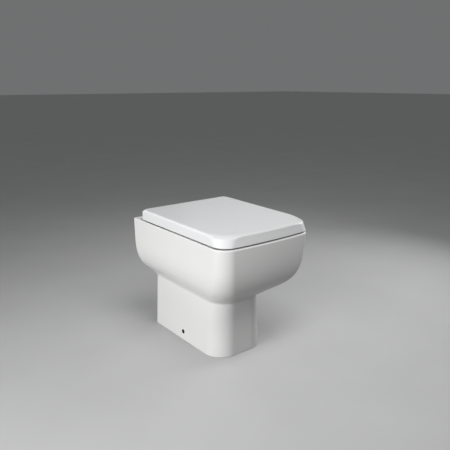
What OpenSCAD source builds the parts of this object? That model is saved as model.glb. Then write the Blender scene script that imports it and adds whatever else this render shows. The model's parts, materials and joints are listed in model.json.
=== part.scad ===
// Back to wall toilet. A one-piece glazed china pan stands on its own foot against the wall.
// A seat and a wrap-over lid turn on soft-closing hinges that lift off two studs in the deck.
// +Z is up, the floor is z = 0, the wall is the plane y = pan_d / 2 and the front faces -Y.

/* [Pan] */
// Overall width of the pan
pan_w = 360; // [350:1:370]
// Overall depth of the pan, from the wall to the front
pan_d = 504; // [496:1:512]
// Height of the rim above the floor
pan_h = 425; // [420:1:430]
// Thickness of the china walls
wall_t = 12; // [10:0.5:13]
// Thickness of the deck behind the bowl
deck_t = 14; // [12:0.5:16]
// How far the front face bows forward at its middle
front_bow = 9.5; // [6:0.5:12]
// Corner radius in plan: at the rim, half way down and at the waist
corner_r = [44, 50, 65]; // [30:1:90]

/* [Bowl profile] */
// Height of the waist, where the bowl meets the foot
waist_z = 195; // [190:1:200]
// Half width of the foot at the waist
waist_hw = 97; // [92:0.5:100]
// How far the front of the waist lies behind the front of the pan
waist_front = 126; // [118:1:130]
// Height at which the side starts to turn under
side_start_z = 346; // [330:1:350]
// Height that the side's curve pulls down to before it turns
side_pull_z = 245; // [235:1:255]
// Inset and height of the pull at the side's underside
side_under = [52.5, 244]; // [40:0.5:260]
// Height at which the front starts to turn under
front_start_z = 415; // [400:1:416]
// Height that the front's curve pulls down to before it turns
front_pull_z = 239; // [230:1:250]
// Inset and height of the pull at the front's underside
front_under = [37.5, 270]; // [30:0.5:280]

/* [Foot] */
// Half width of the foot on the floor
foot_hw = 109; // [102:0.5:112]
// How far the front of the foot on the floor lies behind the front of the pan
foot_front = 124; // [116:0.5:128]
// Corner radius of the foot in plan
foot_r = 71; // [60:1:80]
// Radius of the fixing hole in each side of the foot
side_hole_r = 6.5; // [5:0.5:8]
// Height of the side fixing holes
side_hole_z = 33; // [28:1:40]
// Distance of the side fixing holes from the wall
side_hole_back = 178.5; // [165:0.5:190]

/* [Bowl and water way] */
// Half width of the bowl's mouth
mouth_hw = 120; // [112:1:124]
// Width of the rim at the front of the mouth
mouth_front = 54; // [50:1:60]
// Depth of the mouth from front to back
mouth_len = 284; // [275:1:290]
// Height of the water surface, set by the weir of the trap
weir_z = 227; // [222:1:230]
// Radius of the passage through the trap
trap_r = 27; // [25:0.5:28]
// Thickness of the trap's wall
trap_wall = 10; // [8:0.5:11]
// Height of the middle of the outlet spigot
outlet_z = 185; // [180:1:190]
// Outside radius of the outlet spigot
outlet_r = 51; // [48:0.5:52]
// Radius of the outlet spigot's bore
outlet_bore_r = 43; // [40:0.5:44]
// How far the end of the outlet spigot lies in front of the wall
outlet_back = 20; // [15:1:25]
// Height of the middle of the flush inlet
inlet_z = 350; // [345:1:355]
// Radius of the flush inlet's bore
inlet_r = 27.5; // [25:0.5:28]
// How far the mouth of the flush inlet lies in front of the wall
inlet_back = 37; // [30:1:45]

/* [Seat and lid] */
// Gap between the deck and the lower edge of the lid
lid_gap = 4.3; // [4:0.1:5]
// Height of the lid's flat top above the deck
lid_top = 39; // [38.5:0.5:41]
// How far the lid stops short of the pan's outline
lid_inset = 1.5; // [1:0.5:3]
// Height of the lid's nearly upright side
lid_side_h = 26.5; // [20:0.5:28]
// Inset at the top of that side: along the sides, the front and the rear
lid_mid_inset = [1.5, 7.5, 2]; // [1.5:0.5:8]
// Inset of the lid's flat top: along the sides, the front and the rear
lid_top_inset = [9, 17.5, 5.5]; // [5:0.5:20]
// Front corner radius of the lid: lower edge, top of its side and flat top
lid_r = [43, 55, 88]; // [38:1:110]
// Rear corner radius of the lid: lower edge, top of its side and flat top
lid_rear_r = [6, 5, 14]; // [4:1:20]
// Drop of the lid's top from its rear edge to its front edge
lid_slope = 3; // [0:0.5:4]
// Width of the bare deck between the lid and the wall
ledge = 55; // [54:0.5:58]
// Thickness of the lid's skin
lid_skin = 5.5; // [5:0.1:6]
// Gap between the deck and the underside of the seat
seat_gap = 6.3; // [6:0.1:7]
// Thickness of the seat ring
seat_t = 18.5; // [17:0.5:19]
// Half width of the opening in the seat ring
seat_open_hw = 109; // [105:1:112]

/* [Hinges] */
// Distance between the two hinge studs
stud_pitch = 155; // [150:1:160]
// Height of the hinge axis above the deck
axis_h = 25.5; // [25:0.5:26]
// Distance of the hinge axis in front of the lid's rear edge
axis_back = 11; // [10.5:0.5:11.5]
// Distance of the hinge studs in front of the hinge axis
stud_front = 24; // [23:0.5:25]
// Radius of the knuckles round the hinge axis
knuckle_r = 7.5; // [7:0.1:7.5]
// Radius of the hinge pins and damper shafts
pin_r = 3; // [2.5:0.1:3.2]
// Radial clearance of everything that turns or slides on a round fit
run = 0.06; // [0.03:0.01:0.1]
// Radius of the dampers and bushes
damper_r = 5; // [4.8:0.1:5.2]
// Travel of the release buttons
button_travel = 3; // [2:0.5:3]

/* [Hidden] */

china = [0.93, 0.93, 0.92];
plastic = [0.92, 0.92, 0.91];
rubber_grey = [0.62, 0.63, 0.64];
bumper_white = [0.85, 0.86, 0.86];
metal = [0.75, 0.76, 0.78];
nylon = [0.8, 0.8, 0.76];
button_grey = [0.55, 0.56, 0.58];

wall_y = pan_d / 2;
front_y = -pan_d / 2;
corner_y = front_y + front_bow;   // where the front face meets its corners, behind the bow
hw = pan_w / 2;
eps = 0.01;

// Points in each stretch of an outline
arc_n = 8;
bow_n = 4;
edge_n = 3;

lid_rear = wall_y - ledge;
axis_y = lid_rear - axis_back;
axis_z = pan_h + axis_h;
stud_y = axis_y - stud_front;
stud_x = stud_pitch / 2;
block_hw = 19.5;
block_in = stud_x - block_hw;
block_out = stud_x + block_hw;
block_front = stud_y - 15;
side_gap = 1;
disc_t = 3;
gasket_t = 1;
disc_r = 19;
disc_top = pan_h + gasket_t + disc_t;
lift_gap = 0.3;
block_z = disc_top + lift_gap;
pillar_r = 7;
pillar_h = 14;
shank_r = 4;
deck_hole_r = 7;
barrel_hw = block_in - side_gap;
ear_in = block_out + side_gap;
ear_w = 26;
ear_out = ear_in + ear_w;
pin_depth = 10;
housing_l = 28;
seat_z = pan_h + seat_gap;
seat_top = seat_z + seat_t;
seat_rear = block_front - 4;
seat_hw = hw - lid_inset - lid_skin - 2;
seat_front_gap = lid_inset + lid_skin + 5;
seat_corner_r = 60;
lid_z = pan_h + lid_gap;
lid_top_z = pan_h + lid_top;
lid_under_z = lid_top_z - lid_skin;
notch_hw = ear_out + 3;

// Bolt-down buffers under the seat, and pads under the lid
buffer_r = 9;
buffer_stem_r = 4;
buffer_stem = 5;
seat_buffer_at = [[140, -186], [148, 62]];
lid_buffer_at = [[146, -150], [150, 40]];
pad_r = 7;

// ---- curves and outlines ----

// A point on the cubic curve with end points a and d and pulls b and c
function curve(a, b, c, d, s) =
    pow(1 - s, 3) * a + 3 * pow(1 - s, 2) * s * b + 3 * (1 - s) * s * s * c + pow(s, 3) * d;

// A table of inset against height along a profile curve, for lookup()
curve_n = 40;
function profile(start_z, pull_z, under, waist_inset) = [
    for (i = [curve_n:-1:0])
        let (p = curve([0, start_z], [0, pull_z], under, [waist_inset, waist_z], i / curve_n))
            [p.y, p.x]
];
side_profile = profile(side_start_z, side_pull_z, side_under, hw - waist_hw);
front_profile = profile(front_start_z, front_pull_z, front_under, waist_front - front_bow);

function clamp01(v) = min(1, max(0, v));

// Half of a closed outline, from the middle of the front round to the middle of the rear
function half_outline(w, yf, yr, rf, rr, rear_n) = concat(
    [for (i = [0:bow_n - 1]) [(w - rf) * i / bow_n, yf]],
    [for (i = [0:arc_n]) let (a = 90 * i / arc_n) [w - rf + rf * sin(a), yf + rf - rf * cos(a)]],
    [for (i = [0:rear_n]) let (a = 90 * i / rear_n) [w - rr + rr * cos(a), yr - rr + rr * sin(a)]]
);
// Whole outline of half width w from yf to yr, corner radii rf and rr, front bowed by bow
function outline(w, yf, yr, rf, rr = 2, bow = 0, rear_n = edge_n) = let (
    right = [
        for (p = half_outline(w, yf, yr, rf, rr, rear_n))
            [p.x, p.y - bow * clamp01((yf + rf - p.y) / rf) * (1 - pow(p.x / w, 2))]
    ])
    concat(right, [for (i = [len(right) - 1:-1:1]) [-right[i].x, right[i].y]]);
function at_z(points, z) = [for (p = points) [p.x, p.y, z]];

// Skin over a stack of rings of equal length, from the lowest ring to the highest
module loft(rings) {
    n = len(rings[0]);
    m = len(rings);
    points = [for (r = rings) each r];
    sides = [
        for (j = [0:m - 2], i = [0:n - 1])
            let (a = j * n + i, b = j * n + (i + 1) % n)
                each [[a, b + n, b], [a, a + n, b + n]]
    ];
    floor_face = [for (i = [0:n - 1]) i];
    top_face = [for (i = [n - 1:-1:0]) (m - 1) * n + i];
    polyhedron(points, concat(sides, [floor_face, top_face]), convexity = 8);
}

// ---- outside of the pan ----

function side_in(z) = z > side_start_z ? 0 : lookup(z, side_profile);
function front_in(z) = z > front_start_z ? 0 : lookup(z, front_profile);
function down(z) = (pan_h - z) / (pan_h - waist_z);
function pan_corner(z) = let (t = down(z))
    pow(1 - t, 2) * corner_r[0] + 2 * t * (1 - t) * corner_r[1] + t * t * corner_r[2];
function pan_bow(z) = front_bow * (1 - pow(down(z), 3));

// Ring round the upper body at height z, drawn in by t all round
function body_ring(z, t, rear) = at_z(outline(
    hw - side_in(z) - t,
    corner_y + front_in(z) + t,
    rear, max(pan_corner(z) - t, 5), 2, pan_bow(z)), z);
// Ring round the foot: s is 0 on the floor and 1 at the waist
function foot_ring(s, z, t, rear) = at_z(outline(
    foot_hw + (waist_hw - foot_hw) * s - t,
    front_y + foot_front + (waist_front - foot_front) * s + t,
    rear, foot_r + (corner_r[2] - foot_r) * s - t, 2, 0), z);

rim_round = [[0, 3], [1, 1.3], [2.8, 0.3], [5, 0]];   // depth below the rim, inset
body_levels = [for (i = [0:13]) waist_z + (pan_h - 8 - waist_z) * i / 13];

module pan_outside() {
    loft(concat(
        [foot_ring(0, 0, 0, wall_y)],
        [for (z = body_levels) body_ring(z, 0, wall_y)],
        [for (i = [len(rim_round) - 1:-1:0])
            body_ring(pan_h - rim_round[i].x, rim_round[i].y, wall_y)]
    ));
}
// Space inside the skirt, open to the floor and to the wall
module skirt_space() {
    rear = wall_y + 20;
    top = pan_h - deck_t;
    cavity_levels = [for (i = [0:8]) waist_z + 8 + (top - waist_z - 8) * i / 8];
    loft(concat(
        [foot_ring(0, -1, wall_t, rear)],
        [foot_ring(1, waist_z - 4, wall_t, rear)],
        [for (z = cavity_levels) body_ring(z, wall_t, rear)]
    ));
}

// ---- bowl, trap and water way ----

mouth_y = front_y + mouth_front;
mouth_rear = mouth_y + mouth_len;
// Height, half width, front, rear, front radius and rear radius of the bowl's inside
bowl_rings = [
    [130, 26, -44, 12, 25, 20],
    [142, 34, -52, 24, 32, 24],
    [170, 42, -62, 34, 40, 28],
    [205, 52, -74, 48, 48, 34],
    [weir_z + 13, 66, -94, 64, 58, 42],
    [272, 88, -128, 80, 72, 50],
    [308, 109, -166, 90, 84, 56],
    [345, 123, -192, 96, 92, 60],
    [380, 129, -205, 97, 98, 62],
    [400, 129, -207, 96, 100, 62],
    [408, 126, -204, 93, 99, 61],
    [414, mouth_hw, mouth_y, mouth_rear, 96, 60],
    [pan_h - 2.5, mouth_hw, mouth_y, mouth_rear, 96, 60],
    [pan_h, mouth_hw + 2, mouth_y - 2, mouth_rear + 2, 98, 62],
    [pan_h + 1, mouth_hw + 2.6, mouth_y - 2.6, mouth_rear + 2.6, 98, 62]
];
function bowl_ring(r, t) =
    at_z(outline(r[1] + t, r[2] - t, r[3] + t, r[4] + t, r[5] + t, 0, arc_n), r[0]);

module bowl_space() {
    loft([for (r = bowl_rings) bowl_ring(r, 0)]);
}
module bowl_wall() {
    bottom = bowl_rings[0];
    loft(concat(
        [bowl_ring([bottom[0] - wall_t, 20, -38, 6, 19, 14], 0)],
        [for (i = [0:10]) bowl_ring(bowl_rings[i], wall_t)],
        [bowl_ring([pan_h - 3, mouth_hw + 6, mouth_y - 6, mouth_rear + 6, 98, 62], wall_t)]
    ));
}

// The trap's centre line in the plane x = 0: each stretch is [radius, turn] for a bend
// (up is positive) or [0, length] for a straight
trap_start = [-16, weir_z - 69];
trap_heading = -45;
trap_run = [[40, 115], [0, 60], [38, -130], [0, 36], [38, 60]];
bend_n = 6;
function step_end(p, h, s) = s[0] == 0
    ? [p.x + s[1] * cos(h), p.y + s[1] * sin(h)]
    : let (d = s[1] > 0 ? 1 : -1, h2 = h + s[1])
        [p.x + d * s[0] * (sin(h2) - sin(h)), p.y - d * s[0] * (cos(h2) - cos(h))];
// Stations along the run: [y, z, heading, distance along it]
function stations(i, p, h, l) = i == len(trap_run) ? [[p.x, p.y, h, l]] : let (
    s = trap_run[i],
    n = s[0] == 0 ? 2 : bend_n,
    turn = s[0] == 0 ? 0 : s[1],
    long = s[0] == 0 ? s[1] : s[0] * abs(s[1]) * PI / 180,
    here = [
        for (k = [0:n - 1])
            let (q = step_end(p, h, s[0] == 0 ? [0, s[1] * k / n] : [s[0], s[1] * k / n]))
                [q.x, q.y, h + turn * k / n, l + long * k / n]
    ])
    concat(here, stations(i + 1, step_end(p, h, s), h + turn, l + long));
trap_line = stations(0, trap_start, trap_heading, 0);
trap_len = trap_line[len(trap_line) - 1][3];
trap_n = 20;
// The passage widens to the outlet over its last stretch
widen_l = 40;
function trap_radius(l, wide, narrow) =
    narrow + (wide - narrow) * clamp01((l - trap_len + widen_l) / widen_l);
function trap_ring(s, r) = [
    for (i = [0:trap_n - 1])
        let (a = 360 * i / trap_n)
            [r * cos(a), s[0] + r * sin(a) * sin(s[2]), s[1] - r * sin(a) * cos(s[2])]
];
module trap_tube(narrow, wide, first) {
    rings = [for (s = trap_line) trap_ring(s, trap_radius(s[3], wide, narrow))];
    loft([for (i = [first:len(rings) - 1]) rings[i]]);
}
outlet_end = wall_y - outlet_back;
trap_end = trap_line[len(trap_line) - 1];

// Way from the flush inlet up to the slot at the back of the bowl
slot_y = mouth_rear + 8;
slot_z = 384;
slot_hw = 52;
slot_r = 8;
slot_depth = 12;
chamber_y = 142;
inlet_wall = 10;
way_n = 32;
module water_way(t) {
    hull() {
        translate([0, chamber_y, inlet_z])
            rotate([90, 0, 0])
                cylinder(r = inlet_r - 1.5 + t, h = 4, $fn = way_n);
        for (x = [-slot_hw, slot_hw])
            translate([x, slot_y + (t > 0 ? 4 : 0), slot_z])
                rotate([90, 0, 0])
                    cylinder(r = slot_r + t, h = slot_depth, $fn = 16);
    }
}

module china_body() {
    // Everything with free curves is one mesh, brought to its overall size
    resize([pan_w, pan_d, pan_h])
        difference() {
            union() {
                difference() {
                    pan_outside();
                    skirt_space();
                }
                bowl_wall();
                trap_tube(trap_r + trap_wall, outlet_r - 1, 0);
                water_way(inlet_wall);
            }
            bowl_space();
            trap_tube(trap_r, outlet_bore_r - 1, 0);
            water_way(0);
        }
}

// Middle of the foot's side wall, which leans inwards, at the side holes' height
side_hole_x = foot_hw - (foot_hw - waist_hw) * side_hole_z / waist_z - wall_t / 2;

module along_y(r, y0, y1, z, fn = 72) {
    translate([0, y1, z])
        rotate([90, 0, 0])
            cylinder(r = r, h = y1 - y0, $fn = fn);
}
module at_studs() {
    for (x = [-stud_x, stud_x])
        translate([x, stud_y, 0])
            children();
}

module pan() {
    inlet_end = wall_y - inlet_back;
    color(china)
        difference() {
            union() {
                china_body();
                along_y(outlet_r, trap_end[0] - 4, outlet_end, outlet_z);
                along_y(inlet_r + inlet_wall, chamber_y - 6, inlet_end, inlet_z);
            }
            along_y(outlet_bore_r, trap_end[0] - 2, outlet_end + 1, outlet_z);
            along_y(inlet_r, chamber_y - 3, inlet_end + 1, inlet_z);
            at_studs()
                translate([0, 0, pan_h - deck_t - 10])
                    cylinder(r = deck_hole_r, h = deck_t + 20, $fn = 48);
            for (side = [-1, 1])
                translate([side * side_hole_x, wall_y - side_hole_back, side_hole_z])
                    rotate([0, 90, 0])
                        cylinder(r = side_hole_r, h = 4 * wall_t, center = true, $fn = 48);
        }
}

// ---- hinge fixings, the same on both sides ----

module ring_z(r, bore, z, h) {
    translate([0, 0, z])
        difference() {
            cylinder(r = r, h = h, $fn = 64);
            translate([0, 0, -1])
                cylinder(r = bore, h = h + 2, $fn = 48);
        }
}
module at_side(side) {
    translate([side * stud_x, stud_y, 0])
        children();
}
module deck_gasket(side) {
    color(rubber_grey)
        at_side(side)
            ring_z(disc_r - 0.5, shank_r + 0.3, pan_h, gasket_t);
}
module base_disc(side) {
    color(metal)
        at_side(side)
            rotate_extrude($fn = 72)
                polygon([
                    [shank_r + 0.05, pan_h + gasket_t],
                    [disc_r, pan_h + gasket_t],
                    [disc_r, disc_top - 1],
                    [disc_r - 1, disc_top],
                    [shank_r + 0.05, disc_top]
                ]);
}
bush_l = 30;
nut_l = 16;
shank_end = pan_h - 62;
module hinge_stud(side) {
    groove = [disc_top + 5, disc_top + 10];
    top = disc_top + pillar_h;
    color(metal)
        at_side(side)
            rotate_extrude($fn = 64)
                polygon([
                    [0, shank_end],
                    [shank_r - 0.8, shank_end],
                    [shank_r, shank_end + 0.8],
                    [shank_r, disc_top],
                    [pillar_r, disc_top],
                    [pillar_r, groove[0]],
                    [pillar_r - 2, groove[0] + 1],
                    [pillar_r - 2, groove[1] - 1],
                    [pillar_r, groove[1]],
                    [pillar_r, top - 1.5],
                    [pillar_r - 1.5, top],
                    [0, top]
                ]);
}
module expansion_bush(side) {
    low = pan_h - bush_l;
    under = pan_h - deck_t;
    color(rubber_grey)
        at_side(side)
            rotate_extrude($fn = 64)
                polygon([
                    [shank_r + 0.1, low],
                    [deck_hole_r + 1.5, low],
                    [deck_hole_r + 2.5, low + 4],
                    [deck_hole_r + 2.5, under - 4],
                    [deck_hole_r - 0.1, under - 0.3],
                    [deck_hole_r - 0.1, pan_h - 0.1],
                    [shank_r + 0.1, pan_h - 0.1]
                ]);
}
module cone_nut(side) {
    top = pan_h - bush_l - 0.1;
    color(metal)
        at_side(side)
            difference() {
                union() {
                    translate([0, 0, top - nut_l])
                        cylinder(r = 9.5, h = nut_l - 5, $fn = 6);
                    translate([0, 0, top - 5])
                        cylinder(r1 = 9, r2 = 7, h = 5, $fn = 48);
                }
                translate([0, 0, top - nut_l - 1])
                    cylinder(r = shank_r + 0.02, h = nut_l + 2, $fn = 48);
            }
}

// ---- hinge set, which lifts off the studs ----

// A profile drawn in the YZ plane, carried along X from x0 to x1
module along_x(x0, x1) {
    translate([min(x0, x1), 0, 0])
        rotate([90, 0, 90])
            linear_extrude(abs(x1 - x0))
                children();
}
module rod_x(r, x0, x1) {
    along_x(x0, x1)
        translate([axis_y, axis_z])
            circle(r = r, $fn = 48);
}
button_w = 16;
button_h = 8;
button_z = block_z + 3;
button_proud = 3.2;
button_t = 5;
slide_w = 19;
slide_t = 2.6;
slide_z = button_z + (button_h - slide_t) / 2;
window_r = pillar_r + 0.5;
slot_gap = 0.3;
// The block reaches back to the axis as an arm, which leaves room below the arm for the rear
// edge of the lid: that edge sweeps round the axis within sweep_r
sweep_r = 15.2;
arm_drop = 6;
module block_profile() {
    nose_r = 6;
    base_rear = axis_y - 6.5;
    top = axis_z + knuckle_r;
    translate([axis_y, axis_z])
        circle(r = knuckle_r, $fn = 48);
    difference() {
        union() {
            translate([block_front + nose_r, top - nose_r])
                circle(r = nose_r, $fn = 48);
            translate([block_front, block_z])
                square([base_rear - block_front, top - nose_r - block_z]);
            translate([block_front + nose_r, block_z])
                square([axis_y - block_front - nose_r, top - block_z]);
        }
        intersection() {
            translate([axis_y, axis_z])
                circle(r = sweep_r, $fn = 96);
            translate([axis_y - 2 * sweep_r, axis_z - arm_drop - 2 * sweep_r])
                square([4 * sweep_r, 2 * sweep_r]);
        }
        translate([base_rear, block_z - 1])
            square([sweep_r, axis_z - sweep_r - block_z + 2]);
    }
}
module hinge_block(side) {
    slot_end = stud_y + window_r + 2 + button_travel + slot_gap;
    color(plastic)
        difference() {
            along_x(side * block_in, side * block_out)
                block_profile();
            // pocket that drops over the stud
            at_side(side)
                translate([0, 0, block_z - 1])
                    cylinder(r = pillar_r + run, h = pillar_h + 1.5, $fn = 64);
            // slot for the slide of the release button
            translate([side * stud_x - slide_w / 2 - slot_gap, block_front - 1, slide_z - slot_gap])
                cube([slide_w + 2 * slot_gap, slot_end - block_front + 1, slide_t + 2 * slot_gap]);
            // recess for the button itself
            translate([side * stud_x - button_w / 2 - slot_gap, block_front - 1, button_z - slot_gap])
                cube([
                    button_w + 2 * slot_gap,
                    1 + button_t - button_proud + button_travel + slot_gap,
                    button_h + 2 * slot_gap
                ]);
            rod_x(pin_r, side * (block_in - 1), side * (block_in + pin_depth));
            rod_x(pin_r, side * (block_out + 1), side * (block_out - pin_depth));
        }
}
module release_button(side) {
    slide_end = stud_y + window_r + 2;
    cap_y = block_front - button_proud;
    color(button_grey)
        difference() {
            union() {
                translate([side * stud_x - button_w / 2, cap_y, button_z])
                    cube([button_w, button_t, button_h]);
                translate([side * stud_x - slide_w / 2, cap_y + button_t - eps, slide_z])
                    cube([slide_w, slide_end - cap_y - button_t + eps, slide_t]);
            }
            // window that clears the stud over the button's whole travel
            at_side(side)
                translate([0, -button_travel, slide_z - 1])
                    cylinder(r = window_r, h = slide_t + 2, $fn = 48);
            at_side(side)
                translate([0, 0, slide_z - 1])
                    cylinder(r = window_r, h = slide_t + 2, $fn = 48);
            at_side(side)
                translate([-window_r, -button_travel, slide_z - 1])
                    cube([2 * window_r, button_travel, slide_t + 2]);
        }
}
// Plain pins: the lid's on the left hinge, the seat's on the right hinge
bush_out = 20;
module lid_pivot_pin() {
    color(metal)
        rod_x(pin_r, -(block_in + pin_depth), -(barrel_hw - bush_out));
}
module seat_pivot_pin() {
    color(metal)
        rod_x(pin_r, block_out - pin_depth, ear_in + bush_out);
}
// Damper rotors: a shaft with a fatter paddle inside the housing
paddle_r = 3.9;
cavity_r = paddle_r + run;
neck_l = 4;
module rotor(x_block, x_neck, x_end) {
    color(metal) {
        rod_x(pin_r, x_block, x_neck);
        rod_x(paddle_r, x_neck, x_end);
    }
}
module seat_damper_rotor() {
    rotor(-(block_out - pin_depth), -(ear_in + neck_l + 0.3), -(ear_out - 5));
}
module lid_damper_rotor() {
    rotor(block_in + pin_depth, barrel_hw - neck_l - 0.3, barrel_hw - housing_l + 3);
}
module housing(x_open, x_closed) {
    way = x_closed > x_open ? 1 : -1;
    color(nylon)
        difference() {
            rod_x(damper_r, x_open, x_closed);
            rod_x(pin_r + run, x_open - way, x_open + way * (neck_l + 1));
            rod_x(cavity_r, x_open + way * neck_l, x_closed - way * 2.5);
        }
}
module seat_damper_housing() {
    housing(-ear_in, -(ear_out - 2));
}
module lid_damper_housing() {
    housing(barrel_hw, barrel_hw - housing_l);
}
module bush(x0, x1) {
    color(nylon)
        difference() {
            rod_x(damper_r, x0, x1);
            rod_x(pin_r + run, x0 - 5, x1 + 5);
        }
}
module lid_bush() {
    bush(-barrel_hw, -(barrel_hw - bush_out + 2));
}
module seat_bush() {
    bush(ear_in, ear_in + bush_out - 2);
}

// ---- seat ----

// Height above the seat's underside, inset of the outer edge, inset of the opening's edge
seat_edge = [[0, 1.5, 1.5], [1.5, 0, 0], [10, 0.5, 0], [14.5, 2.5, 2.5], [17, 6, 6.5], [seat_t, 12, 14]];
seat_front = corner_y + seat_front_gap;
opening_front = front_y + 62;
opening_len = 268;
opening_rear = opening_front + opening_len;
function seat_outer(e) = at_z(outline(
    seat_hw - e[1], seat_front + e[1], seat_rear - e[1],
    seat_corner_r + e[1] * 0.6, 14, front_bow), seat_z + e[0]);
function seat_inner(h, t) = at_z(outline(
    seat_open_hw + t, opening_front - t, opening_rear + t, 92 + t, 58 + t, 0, arc_n), h);
module seat_shape() {
    resize([2 * seat_hw, 0, seat_t])
        difference() {
            loft([for (e = seat_edge) seat_outer(e)]);
            loft(concat(
                [seat_inner(seat_z - 1, seat_edge[0][2])],
                [for (e = seat_edge) seat_inner(seat_z + e[0], e[2])],
                [seat_inner(seat_top + 1, seat_edge[5][2] + 2)]
            ));
        }
}
module ear(side) {
    along_x(side * ear_in, side * ear_out) {
        translate([axis_y, axis_z])
            circle(r = knuckle_r, $fn = 48);
        polygon([
            [seat_rear - 4, seat_z + 3],
            [seat_rear + 8, seat_z + 3],
            [axis_y, axis_z - knuckle_r],
            [axis_y, axis_z + knuckle_r],
            [seat_rear - 4, seat_top - 3]
        ]);
    }
}
module at_corners(places) {
    for (p = places, side = [-1, 1])
        translate([side * p.x, p.y, 0])
            children();
}
module seat_ring() {
    color(plastic)
        difference() {
            union() {
                seat_shape();
                ear(-1);
                ear(1);
            }
            rod_x(damper_r, -(ear_in - 1), -(ear_out - 2));
            rod_x(damper_r, ear_in - 1, ear_in + bush_out + 1);
            at_corners(seat_buffer_at)
                translate([0, 0, seat_z - 1])
                    cylinder(r = buffer_stem_r, h = buffer_stem + 1.2, $fn = 32);
        }
}
module seat_buffers() {
    color(bumper_white)
        at_corners(seat_buffer_at)
            rotate_extrude($fn = 48)
                polygon([
                    [0, pan_h + 0.3],
                    [buffer_r - 1, pan_h + 0.3],
                    [buffer_r, pan_h + 1.3],
                    [buffer_r, seat_z],
                    [buffer_stem_r, seat_z],
                    [buffer_stem_r, seat_z + buffer_stem],
                    [0, seat_z + buffer_stem]
                ]);
}

// ---- lid ----

// A level of the lid's outside: height above the deck, insets of its sides, front and rear,
// front corner radius and rear corner radius
lid_foot = [lid_gap + 1, lid_inset, lid_inset, 0, lid_r[0], lid_rear_r[0]];
lid_mid = concat(lid_gap + lid_side_h, lid_mid_inset, lid_r[1], lid_rear_r[1]);
lid_flat = concat(lid_top, lid_top_inset, lid_r[2], lid_rear_r[2]);
lid_lip = lid_foot + [-1, 0.8, 0.8, 0.8, 0, 0];
function bevel(s) = let (up = sin(90 * s), over = 1 - cos(90 * s), way = lid_flat - lid_mid)
    lid_mid + [way[0] * up, way[1] * over, way[2] * over, way[3] * over, way[4] * up, way[5] * up];
lid_edge = concat([lid_lip, lid_foot], [for (i = [0:6]) bevel(i / 6)]);
// Ring round the lid at a level, drawn in by t all round, sloping forward by slope at the top
function lid_ring(e, t, slope = 0) = [
    for (p = outline(
        hw - e[1] - t, corner_y + e[2] + t, lid_rear - e[3] - t,
        max(e[4] - t, 6), max(e[5] - t, 2), front_bow))
        let (up = clamp01((e[0] - lid_gap) / (lid_top - lid_gap)))
            [p.x, p.y, pan_h + e[0] - slope * up * (lid_rear - p.y) / (lid_rear - corner_y)]
];
module lid_shape() {
    resize([2 * (hw - lid_inset), 0, lid_top - lid_gap])
        difference() {
            loft([for (e = lid_edge) lid_ring(e, 0, lid_slope)]);
            loft(concat(
                [lid_ring(lid_foot - [3, 0, 0, 0, 0, 0], lid_skin)],
                [
                    for (i = [2:len(lid_edge) - 1])
                        lid_ring(lid_edge[i] - [lid_skin, 0, 0, 0, 0, 0], lid_skin)
                ]
            ));
            // the rear wall is cut away between the outer corners, so that the hinges fit
            translate([-notch_hw, axis_y, lid_z - 1])
                cube([2 * notch_hw, axis_back + 5, lid_under_z - lid_z + 1]);
        }
}
module lid() {
    color(plastic)
        difference() {
            union() {
                lid_shape();
                along_x(-barrel_hw, barrel_hw) {
                    translate([axis_y, axis_z])
                        circle(r = knuckle_r, $fn = 48);
                    translate([axis_y - knuckle_r, axis_z])
                        square([2 * knuckle_r, lid_under_z - axis_z + 1]);
                }
            }
            rod_x(damper_r, -(barrel_hw + 1), -(barrel_hw - bush_out - 1));
            rod_x(damper_r, barrel_hw + 1, barrel_hw - housing_l);
        }
}
module lid_buffers() {
    color(bumper_white)
        at_corners(lid_buffer_at)
            rotate_extrude($fn = 48)
                polygon([
                    [0, seat_top + 0.3],
                    [pad_r - 1, seat_top + 0.3],
                    [pad_r, seat_top + 1.3],
                    [pad_r, lid_under_z],
                    [0, lid_under_z]
                ]);
}

pan();
deck_gasket(-1);  // deck_gasket_left
deck_gasket(1);  // deck_gasket_right
base_disc(-1);  // base_disc_left
base_disc(1);  // base_disc_right
hinge_stud(-1);  // hinge_stud_left
hinge_stud(1);  // hinge_stud_right
expansion_bush(-1);  // expansion_bush_left
expansion_bush(1);  // expansion_bush_right
cone_nut(-1);  // cone_nut_left
cone_nut(1);  // cone_nut_right
hinge_block(-1);  // hinge_block_left
hinge_block(1);  // hinge_block_right
lid_pivot_pin();
seat_pivot_pin();
seat_damper_rotor();
lid_damper_rotor();
release_button(-1);  // release_button_left
release_button(1);  // release_button_right
seat_ring();
seat_buffers();
seat_damper_housing();
seat_bush();
lid();
lid_buffers();
lid_damper_housing();
lid_bush();
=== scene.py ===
"""Back to wall toilet: the looks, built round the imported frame.

The pan, the seat ring and the lid are modelled here as smooth meshes in the places of their
solids. Every other node keeps its own shape and gets a procedural material.
"""
import json
import math

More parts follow.
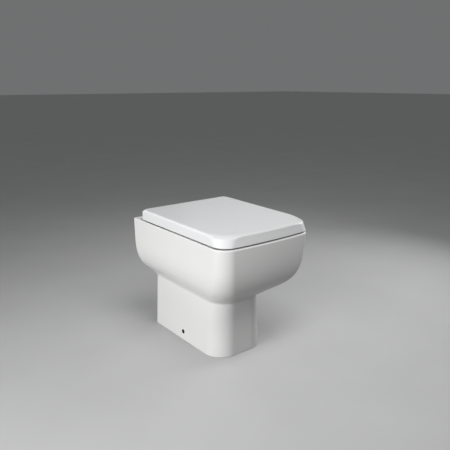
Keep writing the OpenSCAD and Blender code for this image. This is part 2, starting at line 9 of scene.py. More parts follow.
import bpy
import numpy as np
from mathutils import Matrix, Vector


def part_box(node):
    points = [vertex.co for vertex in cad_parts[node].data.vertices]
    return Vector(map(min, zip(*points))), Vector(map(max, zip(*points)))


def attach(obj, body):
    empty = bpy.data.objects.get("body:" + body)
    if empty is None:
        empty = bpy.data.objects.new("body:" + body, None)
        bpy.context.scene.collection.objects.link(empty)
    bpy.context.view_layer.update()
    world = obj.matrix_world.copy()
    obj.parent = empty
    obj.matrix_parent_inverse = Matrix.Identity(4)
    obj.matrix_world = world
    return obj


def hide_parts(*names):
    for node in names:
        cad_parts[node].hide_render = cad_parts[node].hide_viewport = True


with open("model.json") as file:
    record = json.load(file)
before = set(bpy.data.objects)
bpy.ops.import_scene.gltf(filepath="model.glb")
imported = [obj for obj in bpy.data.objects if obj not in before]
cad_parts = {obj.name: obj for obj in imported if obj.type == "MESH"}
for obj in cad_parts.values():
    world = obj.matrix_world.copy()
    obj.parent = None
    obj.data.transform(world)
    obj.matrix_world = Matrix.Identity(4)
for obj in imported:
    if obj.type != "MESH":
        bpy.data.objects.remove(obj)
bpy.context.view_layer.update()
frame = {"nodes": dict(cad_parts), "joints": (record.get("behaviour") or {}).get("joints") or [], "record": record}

MM = 0.001

# ---- sizes, in millimetres, from the frame where the frame has them ----

PAN_LO, PAN_HI = [np.array(corner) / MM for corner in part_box("pan")]
LID_LO, LID_HI = [np.array(corner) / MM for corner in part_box("lid")]
SEAT_LO, SEAT_HI = [np.array(corner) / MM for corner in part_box("seat_ring")]
HW = PAN_HI[0]
WALL_Y = PAN_HI[1]
FRONT_Y = PAN_LO[1]
PAN_H = PAN_HI[2]
HINGE = [np.array(j["pos_m"]) / MM for j in frame["joints"] if j["name"] == "lid_hinge"][0]
AXIS_Y, AXIS_Z = HINGE[1], HINGE[2]

WALL_T = 12.0
DECK_T = 14.0
RIM_R = 5.0              # rounding of the pan's top edge
FRONT_BOW = 9.5
CORNER_Y = FRONT_Y + FRONT_BOW
CORNER_R = (44.0, 50.0, 65.0)    # front corners at the top, between and at the waist
LEAST_R = 5.0            # and their least radius inside the china

# Half width and front edge of the waist, and how its side and front swell up to the rim:
# control points of (inset, height)
WAIST_Z = 195.0
WAIST_HW = 97.0
WAIST_FRONT = 126.0
WAIST_SOFT = 3.0         # half height of the softened crease
SIDE_CURVE = ((0.0, 346.0), (0.0, 245.0), (52.5, 244.0), (HW - WAIST_HW, WAIST_Z))
FRONT_CURVE = ((0.0, 415.0), (0.0, 239.0), (37.5, 270.0), (WAIST_FRONT - FRONT_BOW, WAIST_Z))

FOOT_HW = 109.0
FOOT_FRONT = 124.0
FOOT_R = 71.0
FOOT_EDGE = 2.5          # rounding of the foot's lower edge

SIDE_HOLE = (6.5, WALL_Y - 178.5, 33.0)    # radius, y and height
SIDE_HOLE_ENDS = (70.0, 125.0)
HOLE_LIP = 1.5           # bevel of the side holes' edge
PAST = 20.0              # how far the skirt's inside is cut out past the wall's plane
CLEAR = 1.0              # how far other cuts and joins run past the face that they meet
SKIRT_SOFT = (4.0, 8.0)  # how far below and above the waist its inside crease is cut off
STUD_X = 77.5
STUD_Y = AXIS_Y - 24.0
DECK_HOLE_R = 7.0
DECK_HOLE_ENDS = (PAN_H - 30.0, PAN_H + 5.0)

MOUTH = (120.0, FRONT_Y + 54.0, FRONT_Y + 54.0 + 284.0)    # half width, front and rear
MOUTH_LIP = 6.0          # rounding of the mouth's edge
WEIR_Z = 227.0
TRAP_R = 27.0
TRAP_WALL = 10.0

# Outside radius, bore radius, height and rear end
OUTLET = (51.0, 43.0, 185.0, WALL_Y - 20.0)
INLET = (37.5, 27.5, 350.0, WALL_Y - 37.0)
BORE_STEP = 0.6          # the trap meets the outlet this much inside it
INLET_STEP = 1.5         # and the flush way meets the inlet this much inside it
OUTLET_LAP = (4.0, 2.0)  # how far the outlet's china and bore reach back over the trap's end
INLET_START = 139.0      # where the inlet's bore begins
INLET_LAP = 3.0          # how far its china begins ahead of that
WAY_START = 142.0        # where the flush way begins, inside the inlet
WAY_REACH = 4.0          # how far its bore reaches past the mouth's rear edge
SLOT_HW, SLOT_R, SLOT_Z = 52.0, 8.0, 384.0    # the flush slot at the back of the bowl
WAY_WALL = 10.0

LID_TOP = LID_HI[2] - PAN_H
LID_GAP = LID_LO[2] - PAN_H
LID_INSET = HW - LID_HI[0]
LID_REAR = LID_HI[1]
LID_SKIN = 5.5
LID_SIDE = 26.5          # height of the side up to where the top edge rounds over
LID_SLOPE = 3.0          # drop of the top from its rear edge to its front
LID_LIP = 0.8            # rounding of the lower edge, over the first millimetre
# Insets of the sides, front and rear, front corner radius and rear corner radius
LID_FOOT = np.array([LID_INSET, LID_INSET, 0.0, 43.0, 6.0])
LID_MID = np.array([1.5, 7.5, 2.0, 55.0, 5.0])
LID_FLAT = np.array([9.0, 17.5, 5.5, 88.0, 14.0])
LID_LEAST_R = (6.0, 2.0)    # least front and rear corner radius inside the skin
NOTCH_HW = 127.0
NOTCH_PAST = 5.0         # how far the notch is cut past the lid's rear edge
BARREL_HW = 57.0
BARREL_BORES = (-36.0, 29.0)    # inner ends of the barrel's left and right bores
KNUCKLE_R = 7.5
DAMPER_R = 5.0

SEAT_HW = SEAT_HI[0]
SEAT_Z = SEAT_LO[2]
SEAT_T = 18.5
SEAT_TOP = SEAT_Z + SEAT_T
SEAT_REAR = AXIS_Y - 43.0
SEAT_R = 60.0
SEAT_R_GROWTH = 0.6      # how fast its front corners open up as the edge draws in
SEAT_REAR_R = 14.0
SEAT_FRONT = SEAT_LO[1] + FRONT_BOW
SEAT_OPENING = (109.0, FRONT_Y + 62.0, 78.0)    # half width, front and rear
OPENING_R = (92.0, 58.0)    # its front and rear corners
EAR = (98.0, 124.0)      # inner and outer side of the right ear
EAR_BORES = (-122.0, 119.0)    # outer ends of the left and right ears' blind bores


# ---- outlines and skins ----

def curve(points, n):
    """n + 1 points along the cubic curve with these four control points."""
    a, b, c, d = [np.array(p) for p in points]
    s = np.linspace(0, 1, n + 1)[:, None]
    return (1 - s) ** 3 * a + 3 * (1 - s) ** 2 * s * b + 3 * (1 - s) * s ** 2 * c + s ** 3 * d


def inset_at(points, z):
    """Inset of a profile curve at height z."""
    line = curve(points, 200)[::-1]
    return float(np.interp(z, line[:, 1], line[:, 0]))


ARC_N = 24               # steps round a front corner
RUN_N = 10               # steps along half the front or rear and along a side
PIPE_N = 96              # steps round the outlet and the inlet
HOLE_N = 48              # steps round a hole in the deck or the side
SHARP_ANGLE = 32.0       # edges sharper than this stay crisp
FACE_WEIGHT = 80         # how strongly big faces pull the shading flat


def outline(w, y_front, y_rear, r_front, r_rear=2.0, bow=0.0, rear_n=6):
    """Closed outline of half width w, front bowed forward by bow, from the middle of the front."""
    half = [((w - r_front) * i / RUN_N, y_front) for i in range(RUN_N)]
    for i in range(ARC_N + 1):
        a = math.radians(90 * i / ARC_N)
        half.append((w - r_front + r_front * math.sin(a),
                     y_front + r_front - r_front * math.cos(a)))
    start, stop = y_front + r_front, y_rear - r_rear
    half += [(w, start + (stop - start) * i / RUN_N) for i in range(1, RUN_N)]
    for i in range(rear_n + 1):
        a = math.radians(90 * i / rear_n)
        half.append((w - r_rear + r_rear * math.cos(a), y_rear - r_rear + r_rear * math.sin(a)))
    half += [((w - r_rear) * (1 - i / RUN_N), y_rear) for i in range(1, RUN_N + 1)]
    half = np.array(half)
    reach = np.clip((y_front + r_front - half[:, 1]) / r_front, 0, 1)
    half[:, 1] -= bow * reach * (1 - (half[:, 0] / w) ** 2)
    other = half[-2:0:-1] * (-1, 1)
    return np.vstack([half, other])


def ring(points, z):
    """A flat outline lifted to height z."""
    return np.column_stack([points, np.full(len(points), z)])


def mesh_object(name, verts, faces):
    """An object in the scene from points in millimetres."""
    mesh = bpy.data.meshes.new(name)
    mesh.from_pydata([tuple(v) for v in np.asarray(verts) * MM], [], faces)
    mesh.validate()
    obj = bpy.data.objects.new(name, mesh)
    bpy.context.scene.collection.objects.link(obj)
    return obj


def loft(name, rings):
    """Closed skin over a stack of rings of equal length, from the lowest to the highest."""
    n, m = len(rings[0]), len(rings)
    faces = [
        (j * n + i, j * n + (i + 1) % n, (j + 1) * n + (i + 1) % n, (j + 1) * n + i)
        for j in range(m - 1) for i in range(n)
    ]
    faces.append(tuple(range(n - 1, -1, -1)))
    faces.append(tuple(range((m - 1) * n, m * n)))
    return mesh_object(name, np.vstack(rings), faces)


def fillet(a, b, c, steps):
    """Rings that round the crease at ring b, from ring a to ring c."""
    out = []
    for s in np.linspace(0, 1, steps):
        out.append((1 - s) ** 2 * a + 2 * s * (1 - s) * b + s ** 2 * c)
    return out


def rod(name, r, p0, p1, n=64, r1=None):
    """Closed cylinder or cone from p0 to p1."""
    p0, p1 = np.array(p0, float), np.array(p1, float)
    way = (p1 - p0) / np.linalg.norm(p1 - p0)
    u = np.cross(way, (0, 0, 1) if abs(way[2]) < 0.9 else (1, 0, 0))
    u /= np.linalg.norm(u)
    v = np.cross(way, u)
    turn = [2 * math.pi * i / n for i in range(n)]
    low = [p0 + r * (math.cos(a) * u + math.sin(a) * v) for a in turn]
    high = [p1 + (r1 or r) * (math.cos(a) * u + math.sin(a) * v) for a in turn]
    return loft(name, [np.array(low), np.array(high)])


def axis_rod(name, r, x0, x1):
    """Closed cylinder along the hinge axis."""
    return rod(name, r, (x0, AXIS_Y, AXIS_Z), (x1, AXIS_Y, AXIS_Z))


def box(name, lo, hi):
    """Closed box between two corners."""
    x0, y0, z0 = lo
    x1, y1, z1 = hi
    low = np.array([(x0, y0, z0), (x1, y0, z0), (x1, y1, z0), (x0, y1, z0)])
    high = low + (0, 0, z1 - z0)
    return loft(name, [low, high])


def prism_x(name, profile, x0, x1):
    """Profile of (y, z) points, counter-clockwise seen from +X, carried from x0 to x1."""
    low = np.array([(x0, y, z) for y, z in profile])
    high = np.array([(x1, y, z) for y, z in profile])
    return loft(name, [low, high])


def settle(obj):
    """Applies the object's modifiers to its mesh."""
    graph = bpy.context.evaluated_depsgraph_get()
    done = bpy.data.meshes.new_from_object(obj.evaluated_get(graph), depsgraph=graph)
    old = obj.data
    obj.modifiers.clear()
    obj.data = done
    bpy.data.meshes.remove(old)


def combine(obj, others, operation):
    """Adds the other closed skins to obj or takes them away, and deletes them."""
    for other in others:
        mod = obj.modifiers.new("cut", "BOOLEAN")
        mod.operation = operation
        mod.solver = "MANIFOLD"
        mod.object = other
        settle(obj)
        bpy.data.objects.remove(other)


def smooth(obj):
    """Smooth shading that keeps real edges crisp and big flat faces flat."""
    mesh = obj.data
    mesh.shade_smooth()
    mesh.set_sharp_from_angle(angle=math.radians(SHARP_ANGLE))
    mod = obj.modifiers.new("normals", "WEIGHTED_NORMAL")
    mod.keep_sharp = True
    mod.weight = FACE_WEIGHT
    settle(obj)


# ---- camera ----

CAM_AZ, CAM_EL = -37.8, 22.2    # degrees
CAM_DIST = 1742.0        # millimetres
CAM_TARGET = Vector((0.0, 0.0, 200.0))
PHOTO_PX = 450.0         # the photograph's side, in pixels
FOCAL_PX = 501.5
CENTRE_PX = (219.4, 287.3)    # where the line of sight meets the photograph
SENSOR = 36.0


def make_camera():
    """The photograph's camera, whose picture is a shifted part of a wider one."""
    data = bpy.data.cameras.new("camera")
    data.sensor_width = SENSOR
    data.lens = SENSOR * FOCAL_PX / PHOTO_PX
    data.shift_x = (PHOTO_PX / 2 - CENTRE_PX[0]) / PHOTO_PX
    data.shift_y = (CENTRE_PX[1] - PHOTO_PX / 2) / PHOTO_PX
    data.clip_start = 0.05
    camera = bpy.data.objects.new("camera", data)
    az, el = math.radians(CAM_AZ), math.radians(CAM_EL)
    back = Vector((math.sin(az) * math.cos(el), -math.cos(az) * math.cos(el), math.sin(el)))
    camera.location = (CAM_TARGET + back * CAM_DIST) * MM
    camera.rotation_euler = back.to_track_quat("Z", "Y").to_euler()
    bpy.context.scene.collection.objects.link(camera)
    bpy.context.scene.camera = camera


# ---- materials ----

def new_material(name):
    """A new node material, with its nodes, its links and its main shader."""
    mat = bpy.data.materials.new(name)
    mat.use_nodes = True
    nodes = mat.node_tree.nodes
    return mat, nodes, mat.node_tree.links, nodes["Principled BSDF"]


def noise(nodes, links, scale, detail):
    """A noise texture fixed to the object."""
    coord = nodes.new("ShaderNodeTexCoord")
    tex = nodes.new("ShaderNodeTexNoise")
    tex.inputs["Scale"].default_value = scale
    tex.inputs["Detail"].default_value = detail
    links.new(coord.outputs["Object"], tex.inputs["Vector"])
    return tex


def ramp(nodes, links, source, low, high):
    """The middle of a noise's range, spread from one colour to another."""
    node = nodes.new("ShaderNodeValToRGB")
    node.color_ramp.elements[0].position = 0.3
    node.color_ramp.elements[1].position = 0.7
    node.color_ramp.elements[0].color = low
    node.color_ramp.elements[1].color = high
    links.new(source, node.inputs["Fac"])
    return node.outputs["Color"]


def grey(value):
    """An opaque grey."""
    return (value, value, value, 1.0)


CLOUD_SCALE = 6.0
PATCH_SCALE = 30.0
WAVE_SCALE = 16.0
COLOUR_SPREAD = 0.012    # share of the colour by which it drifts each way
GRAIN_DEPTH = 0.0004     # metres
WAVE_DEPTH = 0.002


def surface(name, colour, rough, rough_spread=0.02, grain=900.0, grain_bump=0.02, wave_bump=0.0,
            metallic=0.0, ior=1.5):
    """A procedural surface: clouded colour and roughness, fine grain and slow waviness."""
    mat, nodes, links, shader = new_material(name)
    clouds = noise(nodes, links, CLOUD_SCALE, 3.0)
    low = tuple(c * (1 - COLOUR_SPREAD) for c in colour) + (1.0,)
    high = tuple(c * (1 + COLOUR_SPREAD) for c in colour) + (1.0,)
    links.new(ramp(nodes, links, clouds.outputs["Fac"], low, high), shader.inputs["Base Color"])
    patches = noise(nodes, links, PATCH_SCALE, 4.0)
    rough_out = ramp(nodes, links, patches.outputs["Fac"],
                     grey(rough - rough_spread), grey(rough + rough_spread))
    links.new(rough_out, shader.inputs["Roughness"])
    shader.inputs["Metallic"].default_value = metallic
    shader.inputs["IOR"].default_value = ior
    fine = noise(nodes, links, grain, 2.0)
    bump = nodes.new("ShaderNodeBump")
    bump.inputs["Strength"].default_value = grain_bump
    bump.inputs["Distance"].default_value = GRAIN_DEPTH
    links.new(fine.outputs["Fac"], bump.inputs["Height"])
    if wave_bump:
        slow = noise(nodes, links, WAVE_SCALE, 1.0)
        sway = nodes.new("ShaderNodeBump")
        sway.inputs["Strength"].default_value = wave_bump
        sway.inputs["Distance"].default_value = WAVE_DEPTH
        links.new(slow.outputs["Fac"], sway.inputs["Height"])
        links.new(bump.outputs["Normal"], sway.inputs["Normal"])
        links.new(sway.outputs["Normal"], shader.inputs["Normal"])
    else:
        links.new(bump.outputs["Normal"], shader.inputs["Normal"])
    return mat


def make_materials():
    """One material for each slot of the record, and one near-black one that paints shade on the side holes' walls.
    """
    return {
        "china": surface("china_glaze", (0.855, 0.855, 0.845), 0.32, rough_spread=0.03, grain=700,
                         grain_bump=0.02, wave_bump=0.03, ior=1.22),
        "seat_plastic": surface("white_thermoset", (0.855, 0.86, 0.865), 0.32, rough_spread=0.03,
                                grain=1400, grain_bump=0.02, ior=1.25),
        "hinge_cover": surface("white_moulding", (0.83, 0.83, 0.82), 0.24, grain=1800,
                               grain_bump=0.05),
        "hinge_metal": surface("polished_chrome", (0.80, 0.81, 0.83), 0.09, rough_spread=0.03,
                               grain=1200, grain_bump=0.02, metallic=1.0),
        "steel": surface("turned_steel", (0.60, 0.60, 0.61), 0.30, rough_spread=0.06,
                         grain=1500, grain_bump=0.06, metallic=1.0),
        "damper": surface("natural_nylon", (0.76, 0.75, 0.70), 0.42, grain=1600, grain_bump=0.08),
        "button": surface("grey_moulding", (0.30, 0.31, 0.33), 0.45, grain=1600, grain_bump=0.1),
        # painted shade: a near-black colour on the side holes' walls stands in for the shade inside the pan
        "bore": surface("bore_painted_shade", (0.035, 0.033, 0.03), 0.85, grain=900, grain_bump=0.2,
                        ior=1.2),
        "gasket": surface("dark_rubber", (0.06, 0.06, 0.065), 0.62, grain=1200, grain_bump=0.15),
        "buffer": surface("white_rubber", (0.74, 0.75, 0.75), 0.48, grain=1200, grain_bump=0.1),
    }


def dress(obj, material):
    """Gives the object this one material."""
    obj.data.materials.clear()
    obj.data.materials.append(material)


# ---- pan ----

def pan_corner(z):
    """Radius of the front corners at height z."""
    t = (PAN_H - z) / (PAN_H - WAIST_Z)
    return (1 - t) ** 2 * CORNER_R[0] + 2 * t * (1 - t) * CORNER_R[1] + t * t * CORNER_R[2]


def body_ring(z, t=0.0, rear=WALL_Y):
    """The bowl's outside at height z, drawn in by t."""
    down = (PAN_H - z) / (PAN_H - WAIST_Z)
    side = inset_at(SIDE_CURVE, z) if z < SIDE_CURVE[0][1] else 0.0
    front = inset_at(FRONT_CURVE, z) if z < FRONT_CURVE[0][1] else 0.0
    bow = FRONT_BOW * (1 - down ** 3)
    return ring(outline(HW - side - t, CORNER_Y + front + t, rear, max(pan_corner(z) - t, LEAST_R),
                        bow=bow), z)


def foot_ring(s, z, t=0.0, rear=WALL_Y):
    """The foot's outside at height z, drawn in by t: s is 0 at the floor and 1 at the waist."""
    return ring(outline(
        FOOT_HW + (WAIST_HW - FOOT_HW) * s - t,
        FRONT_Y + FOOT_FRONT + (WAIST_FRONT - FOOT_FRONT) * s + t,
        rear, FOOT_R + (CORNER_R[2] - FOOT_R) * s - t), z)


def pan_outside():
    """The whole pan as a solid block, from its rounded foot to its rounded rim."""
    rings = []
    for a in np.linspace(0, 90, 5):
        draw = FOOT_EDGE * (1 - math.cos(math.radians(90 - a)))
        rings.append(foot_ring(0, FOOT_EDGE * (1 - math.cos(math.radians(a))), draw))
    low_z, high_z = WAIST_Z - WAIST_SOFT, WAIST_Z + WAIST_SOFT
    low_s = low_z / WAIST_Z
    rings += [foot_ring(s, WAIST_Z * s) for s in np.linspace(FOOT_EDGE / WAIST_Z, low_s, 6)[1:-1]]
    rings += fillet(foot_ring(low_s, low_z), body_ring(WAIST_Z), body_ring(high_z), 9)
    rings += [body_ring(z) for z in np.linspace(high_z, PAN_H - RIM_R, 64)[1:]]
    for a in np.linspace(0, 90, 9)[1:]:
        up, draw = RIM_R * math.sin(math.radians(a)), RIM_R * (1 - math.cos(math.radians(a)))
        rings.append(body_ring(PAN_H - RIM_R + up, draw))
    return loft("pan_outside", rings)


def skirt_space():
    """The open space inside the skirt, out through the back and the floor."""
    rear, top = WALL_Y + PAST, PAN_H - DECK_T
    below, above = SKIRT_SOFT
    rings = [foot_ring(0, -CLEAR, WALL_T, rear), foot_ring(1, WAIST_Z - below, WALL_T, rear)]
    rings += [body_ring(z, WALL_T, rear) for z in np.linspace(WAIST_Z + above, top, 40)]
    return loft("skirt_space", rings)


# Height, half width, front, rear, front radius and rear radius of the bowl's inside
BOWL = np.array([
    (130, 26, -44, 12, 25, 20),
    (142, 34, -52, 24, 32, 24),
    (170, 42, -62, 34, 40, 28),
    (205, 52, -74, 48, 48, 34),
    (WEIR_Z + 13, 66, -94, 64, 58, 42),
    (272, 88, -128, 80, 72, 50),
    (308, 109, -166, 90, 84, 56),
    (345, 123, -192, 96, 92, 60),
    (380, 129, -205, 97, 98, 62),
    (400, 129, -207, 96, 100, 62),
    (408, 126, -204, 93, 99, 61),
    (414, MOUTH[0], MOUTH[1], MOUTH[2], 96, 60),
], dtype=float)

# The same for the lowest and the highest ring of the bowl's china
BOWL_UNDER = np.array([BOWL[0][0] - WALL_T, 20, -38, 6, 19, 14], dtype=float)
BOWL_COLLAR = np.array([PAN_H - 3, MOUTH[0] + 6, MOUTH[1] - 6, MOUTH[2] + 6, 98, 62], dtype=float)


def blend_rows(rows, n):
    """Rows of a table, blended smoothly by height into n rows."""
    z = rows[:, 0]
    slope = np.gradient(rows, z, axis=0)
    slope[-1] = 0
    slope[-1, 0] = 1
    out = []
    for level in np.linspace(z[0], z[-1], n):
        i = min(max(int(np.searchsorted(z, level) - 1), 0), len(z) - 2)
        h = z[i + 1] - z[i]
        s = (level - z[i]) / h
        low = (2 * s ** 3 - 3 * s ** 2 + 1) * rows[i] + (s ** 3 - 2 * s ** 2 + s) * h * slope[i]
        out.append(low + (3 * s ** 2 - 2 * s ** 3) * rows[i + 1]
                   + (s ** 3 - s ** 2) * h * slope[i + 1])
    return out


def bowl_ring(row, t=0.0):
    """A row of the bowl's table as a ring, let out by t."""
    height, w, front, rear, r_front, r_rear = row
    return ring(outline(w + t, front - t, rear + t, r_front + t, r_rear + t, rear_n=ARC_N), height)


def bowl_space():
    """The bowl's inside, up through the mouth's rounded edge."""
    rings = [bowl_ring(row) for row in blend_rows(BOWL, 70)]
    row = BOWL[-1].copy()
    for a in np.linspace(0, 88, 9):
        row[0] = PAN_H - MOUTH_LIP + MOUTH_LIP * math.sin(math.radians(a))
        rings.append(bowl_ring(row, MOUTH_LIP * (1 - math.cos(math.radians(a)))))
    row[0] = PAN_H + 2
    rings.append(bowl_ring(row, MOUTH_LIP + 0.3))
    return loft("bowl_space", rings)


def bowl_wall():
    """The bowl's china as a solid, from under its floor to just under the deck's top."""
    rings = [bowl_ring(BOWL_UNDER)]
    rings += [bowl_ring(row, WALL_T) for row in blend_rows(BOWL[:-1], 44)]
    rings.append(bowl_ring(BOWL_COLLAR, WALL_T))
    return loft("bowl_wall", rings)


# The trap's centre line in the plane x = 0: (radius, turn) for a bend, (0, length) for a straight
TRAP_START = (-16.0, WEIR_Z - 69.0)
TRAP_HEADING = -45.0
TRAP_RUN = ((40, 115), (0, 60), (38, -130), (0, 36), (38, 60))
BEND_STEPS, STRAIGHT_STEPS = 14, 6
WIDEN = 40.0             # length over which the trap widens to the outlet


def trap_line():
    """Stations along the trap: y, z, heading and distance."""
    y, z = TRAP_START
    heading, length = TRAP_HEADING, 0.0
    out = []
    for radius, amount in TRAP_RUN:
        steps = BEND_STEPS if radius else STRAIGHT_STEPS
        for k in range(steps):
            out.append((y, z, heading, length))
            if radius:
                turn = amount / steps
                d = 1 if turn > 0 else -1
                h0, h1 = math.radians(heading), math.radians(heading + turn)
                y += d * radius * (math.sin(h1) - math.sin(h0))
                z -= d * radius * (math.cos(h1) - math.cos(h0))
                heading += turn
                length += radius * abs(turn) * math.pi / 180
            else:
                step = amount / steps
                y += step * math.cos(math.radians(heading))
                z += step * math.sin(math.radians(heading))
                length += step
    out.append((y, z, heading, length))
    return out


def trap_tube(name, narrow, wide):
    """A tube along the trap that widens over its last stretch."""
    n = 40
    line = trap_line()
    total = line[-1][3]
    rings = []
    for y, z, heading, length in line:
        s = min(max((length - total + WIDEN) / WIDEN, 0), 1)
        r = narrow + (wide - narrow) * (3 * s * s - 2 * s ** 3)
        h = math.radians(heading)
        rings.append(np.array([
            (r * math.cos(a), y + r * math.sin(a) * math.sin(h), z - r * math.sin(a) * math.cos(h))
            for a in (2 * math.pi * i / n for i in range(n))]))
    return loft(name, rings)


def water_way(name, t):
    """Way from the flush inlet up to the slot at the back of the bowl."""
    n, steps = 48, 14
    r_in, r_slot = INLET[1] - INLET_STEP + t, SLOT_R + t
    y_out = MOUTH[2] if t else MOUTH[2] - WAY_REACH
    rings = []
    for s in np.linspace(0, 1, steps):
        pts = []
        for i in range(n):
            a = 2 * math.pi * i / n
            cx, cz = math.cos(a), math.sin(a)
            slot_x = (SLOT_HW if cx >= 0 else -SLOT_HW) + r_slot * cx
            x = (1 - s) * r_in * cx + s * slot_x
            z = (1 - s) * (INLET[2] + r_in * cz) + s * (SLOT_Z + r_slot * cz)
            pts.append((x, WAY_START + (y_out - WAY_START) * s, z))
        rings.append(np.array(pts))
    return loft(name, rings)


def make_pan():
    """A block, hollowed from below and behind, with bowl, trap and ways put in and bored out."""
    trap_end = trap_line()[-1][0]
    out_r, out_bore, out_z, out_rear = OUTLET
    in_r, in_bore, in_z, in_rear = INLET
    china_lap, bore_lap = OUTLET_LAP
    pan = pan_outside()
    combine(pan, [skirt_space()], "DIFFERENCE")
    combine(pan, [
        bowl_wall(),
        trap_tube("trap_wall", TRAP_R + TRAP_WALL, out_r - BORE_STEP),
        water_way("way_wall", WAY_WALL),
        rod("spigot", out_r, (0, trap_end - china_lap, out_z), (0, out_rear, out_z), PIPE_N),
        rod("inlet", in_r, (0, INLET_START - INLET_LAP, in_z), (0, in_rear, in_z), PIPE_N),
    ], "UNION")
    holes = [
        bowl_space(),
        trap_tube("trap_way", TRAP_R, out_bore - BORE_STEP),
        water_way("way", 0.0),
        rod("outlet_bore", out_bore, (0, trap_end - bore_lap, out_z),
            (0, out_rear + CLEAR, out_z), PIPE_N),
        rod("inlet_bore", in_bore, (0, INLET_START, in_z), (0, in_rear + CLEAR, in_z), PIPE_N),
    ]
    r, y, z = SIDE_HOLE
    face = FOOT_HW + (WAIST_HW - FOOT_HW) * z / WAIST_Z
    for side in (-1, 1):
        x = side * STUD_X
        start, stop = [side * end for end in SIDE_HOLE_ENDS]
        holes.append(rod("deck_hole", DECK_HOLE_R, (x, STUD_Y, DECK_HOLE_ENDS[0]),
                         (x, STUD_Y, DECK_HOLE_ENDS[1]), HOLE_N))
        holes.append(rod("side_hole", r, (start, y, z), (stop, y, z), HOLE_N))
        holes.append(rod("side_lip", r, (side * (face - HOLE_LIP), y, z),
                         (side * (face + HOLE_LIP), y, z), HOLE_N, r + 2 * HOLE_LIP))
    combine(pan, holes, "DIFFERENCE")
    return pan


def darken_side_holes(pan, material):
    """Gives the walls of the side holes, and not the wall round them, their own near-black material, which paints
    the shade inside them.
    """
    pan.data.materials.append(material)
    r, y, z = SIDE_HOLE
    for face in pan.data.polygons:
        x, fy, fz = face.center / MM
        near = math.hypot(fy - y, fz - z) < r + HOLE_LIP and abs(x) > FOOT_HW - 2 * WALL_T
        if near and abs(face.normal.x) < 0.9:
            # painted shade: these faces take the near-black material in place of the glaze
            face.material_index = 1


# ---- lid ----

def lid_level(height):
    """Insets and corner radii of the lid's outside at a height above the deck."""
    stop = LID_GAP + LID_SIDE
    if height <= stop:
        up = max((height - LID_GAP - 1) / (LID_SIDE - 1), 0)
        lip = LID_LIP * (1 - min(height - LID_GAP, 1.0)) ** 2
        return LID_FOOT + (LID_MID - LID_FOOT) * up + np.array([lip, lip, lip, 0, 0])
    up = (height - stop) / (LID_TOP - stop)
    over = 1 - math.sqrt(max(1 - up * up, 0))
    return LID_MID + (LID_FLAT - LID_MID) * np.array([over, over, over, up, up])


def lid_ring(height, level, t=0.0, slope=0.0):
    """The lid's outline at a height above the deck, drawn in by t and sloping to the front."""
    line = ring(outline(HW - level[0] - t, CORNER_Y + level[1] + t, LID_REAR - level[2] - t,
                        max(level[3] - t, LID_LEAST_R[0]), max(level[4] - t, LID_LEAST_R[1]),
                        FRONT_BOW), PAN_H + height)
    up = min(max((height - LID_GAP) / (LID_TOP - LID_GAP), 0.0), 1.0)
    line[:, 2] -= slope * up * (LID_REAR - line[:, 1]) / (LID_REAR - CORNER_Y)
    return line


def make_lid():
    """The wrap-over shell, notched at the rear for the hinges, with its pivot barrel."""
    stop = LID_GAP + LID_SIDE
    heights = [LID_GAP, LID_GAP + 0.3, LID_GAP + 0.6] + list(np.linspace(LID_GAP + 1, stop, 12))
    heights += [stop + (LID_TOP - stop) * math.sin(math.radians(a))
                for a in np.linspace(0, 90, 20)[1:]]
    lid = loft("lid_shell", [lid_ring(h, lid_level(h), slope=LID_SLOPE) for h in heights])
    inside = [lid_ring(LID_GAP - 2, LID_FOOT, LID_SKIN)]
    inside += [lid_ring(h - LID_SKIN, lid_level(h), LID_SKIN) for h in heights if h >= stop]
    under = PAN_H + LID_TOP - LID_SKIN
    notch = box("notch", (-NOTCH_HW, AXIS_Y, PAN_H), (NOTCH_HW, LID_REAR + NOTCH_PAST, under))
    combine(lid, [loft("lid_inside", inside), notch], "DIFFERENCE")
    web = box("web", (-BARREL_HW, AXIS_Y - KNUCKLE_R, AXIS_Z),
              (BARREL_HW, AXIS_Y + KNUCKLE_R, under + CLEAR))
    combine(lid, [web, axis_rod("barrel", KNUCKLE_R, -BARREL_HW, BARREL_HW)], "UNION")
    combine(lid, [
        axis_rod("bore", DAMPER_R, -BARREL_HW - CLEAR, BARREL_BORES[0]),
        axis_rod("bore", DAMPER_R, BARREL_HW + CLEAR, BARREL_BORES[1]),
    ], "DIFFERENCE")
    return lid


# ---- seat ring ----

# Height above the underside, inset of the outer edge, inset of the opening's edge
SEAT_EDGE = np.array([
    (0, 1.5, 1.5),
    (1.5, 0, 0),
    (10, 0.5, 0),
    (14.5, 2.5, 2.5),
    (17, 6, 6.5),
    (SEAT_T, 12, 14),
], dtype=float)

# The ears' side view, from the ring's rear edge back to the hinge axis, as (y, height)
EAR_PROFILE = [
    (SEAT_REAR - 4, SEAT_Z + 3), (SEAT_REAR + 8, SEAT_Z + 3), (AXIS_Y, AXIS_Z - KNUCKLE_R),
    (AXIS_Y, AXIS_Z + KNUCKLE_R), (SEAT_REAR - 4, SEAT_TOP - 3),
]


def seat_rows(n):
    """The seat's edge table, drawn out into a smooth section."""
    along = np.concatenate([[0], np.cumsum(np.linalg.norm(np.diff(SEAT_EDGE, axis=0), axis=1))])
    out = []
    for s in np.linspace(0, along[-1], n):
        out.append([np.interp(s, along, SEAT_EDGE[:, k]) for k in range(3)])
    out = np.array(out)
    for _ in range(3):
        out[1:-1] = (out[:-2] + 2 * out[1:-1] + out[2:]) / 4
    return out


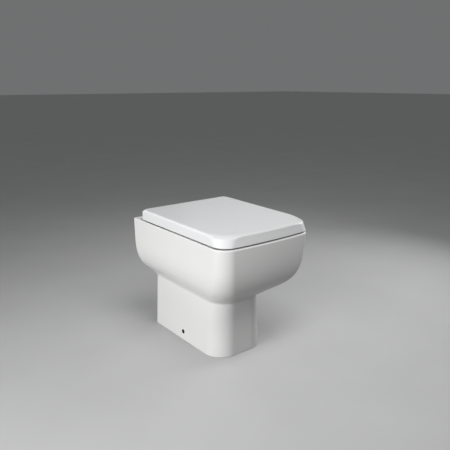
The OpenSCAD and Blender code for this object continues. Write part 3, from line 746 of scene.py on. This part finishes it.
def make_seat():
    """The rounded ring with its two ears that reach back to the hinge axis."""
    rows = seat_rows(26)
    outer = [ring(outline(SEAT_HW - o, SEAT_FRONT + o, SEAT_REAR - o,
                          SEAT_R + o * SEAT_R_GROWTH, SEAT_REAR_R, FRONT_BOW), SEAT_Z + h)
             for h, o, _ in rows]
    w, front, rear = SEAT_OPENING
    r_front, r_rear = OPENING_R

    def hole(h, t):
        """The opening's edge at height h, let out by t."""
        return ring(outline(w + t, front - t, rear + t, r_front + t, r_rear + t, rear_n=ARC_N), h)

    inner = [hole(SEAT_Z - CLEAR, rows[0][2])] + [hole(SEAT_Z + h, i) for h, _, i in rows]
    inner.append(hole(SEAT_TOP + CLEAR, rows[-1][2] + 2))
    seat = loft("seat_ring_skin", outer)
    combine(seat, [loft("opening", inner)], "DIFFERENCE")
    for side in (-1, 1):
        x0, x1 = sorted((side * EAR[0], side * EAR[1]))
        arm = prism_x("arm", EAR_PROFILE, x0, x1)
        combine(seat, [arm, axis_rod("knuckle", KNUCKLE_R, x0, x1)], "UNION")
    combine(seat, [
        axis_rod("bore", DAMPER_R, -EAR[0] + CLEAR, EAR_BORES[0]),
        axis_rod("bore", DAMPER_R, EAR[0] - CLEAR, EAR_BORES[1]),
    ], "DIFFERENCE")
    return seat


# ---- floor and light ----

FLOOR_HALF = 40000.0
PALE, DIM = (0.60, 0.63), (0.20, 0.22)


def make_floor():
    """Pale to the camera and in reflections, dimmer in the light that it gives back."""
    mat, nodes, links, shader = new_material("pale_floor")
    speck = noise(nodes, links, 3.0, 3.0)
    pale = ramp(nodes, links, speck.outputs["Fac"], grey(PALE[0]), grey(PALE[1]))
    dim = ramp(nodes, links, speck.outputs["Fac"], grey(DIM[0]), grey(DIM[1]))
    path = nodes.new("ShaderNodeLightPath")
    seen = path.outputs["Is Camera Ray"]
    for kind in ("Is Glossy Ray", "Is Transmission Ray"):
        either = nodes.new("ShaderNodeMath")
        either.operation = "MAXIMUM"
        links.new(seen, either.inputs[0])
        links.new(path.outputs[kind], either.inputs[1])
        seen = either.outputs["Value"]
    mix = nodes.new("ShaderNodeMix")
    mix.data_type = "RGBA"
    links.new(seen, mix.inputs["Factor"])
    # Inputs 6 and 7 and output 2 are the node's colour sockets
    links.new(dim, mix.inputs[6])
    links.new(pale, mix.inputs[7])
    links.new(mix.outputs[2], shader.inputs["Base Color"])
    shader.inputs["Roughness"].default_value = 0.75
    shader.inputs["Specular IOR Level"].default_value = 0.2
    corners = [(-1, -1, 0), (1, -1, 0), (1, 1, 0), (-1, 1, 0)]
    floor = mesh_object("floor", np.array(corners) * FLOOR_HALF, [(0, 1, 2, 3)])
    dress(floor, mat)


# In metres
LIGHT_AIM = Vector((0.0, 0.0, 0.25))
BOX_SIZE = 1.0
BOX_FAR = 2.0
NARROW_FAN = 100         # degrees, for the two lowest lamps, to leave the floor near them dim


def softbox(name, az, el, power, fan=180):
    """A square soft light, seen from the object at this azimuth and elevation."""
    data = bpy.data.lights.new(name, "AREA")
    data.shape = "SQUARE"
    data.size = BOX_SIZE
    data.spread = math.radians(fan)
    data.energy = power
    a, e = math.radians(az), math.radians(el)
    way = Vector((math.sin(a) * math.cos(e), -math.cos(a) * math.cos(e), math.sin(e)))
    lamp = bpy.data.objects.new(name, data)
    lamp.location = LIGHT_AIM + way * BOX_FAR
    lamp.rotation_euler = way.to_track_quat("Z", "Y").to_euler()
    bpy.context.scene.collection.objects.link(lamp)


def make_light():
    """A dim even world and four soft boxes."""
    world = bpy.data.worlds.new("studio")
    bpy.context.scene.world = world
    world.use_nodes = True
    back = world.node_tree.nodes["Background"]
    back.inputs["Color"].default_value = (0.80, 0.81, 0.82, 1)
    back.inputs["Strength"].default_value = 0.20
    softbox("key", -80, 9, 9.2, NARROW_FAN)
    softbox("front", -16, 60, 17.4)
    softbox("fill", 90, 20, 4.9, NARROW_FAN)
    softbox("rim", 135, 25, 1.2)


# ---- assembly ----

make_camera()
finish = make_materials()
slot_of = {part["node"]: part["material_slot"] for part in frame["record"]["subparts"]}
for node_name, node_object in frame["nodes"].items():
    dress(node_object, finish[slot_of[node_name]])

for maker, piece_name, body, node_name in (
        (make_pan, "pan_glazed", "pan_body", "pan"),
        (make_lid, "lid_moulded", "lid_body", "lid"),
        (make_seat, "seat_moulded", "seat_body", "seat_ring")):
    piece = maker()
    piece.name = piece_name
    smooth(piece)
    dress(piece, finish[slot_of[node_name]])
    if node_name == "pan":
        darken_side_holes(piece, finish["bore"])
    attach(piece, body)
    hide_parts(node_name)

make_floor()
make_light()
bpy.context.scene.view_settings.view_transform = "Standard"
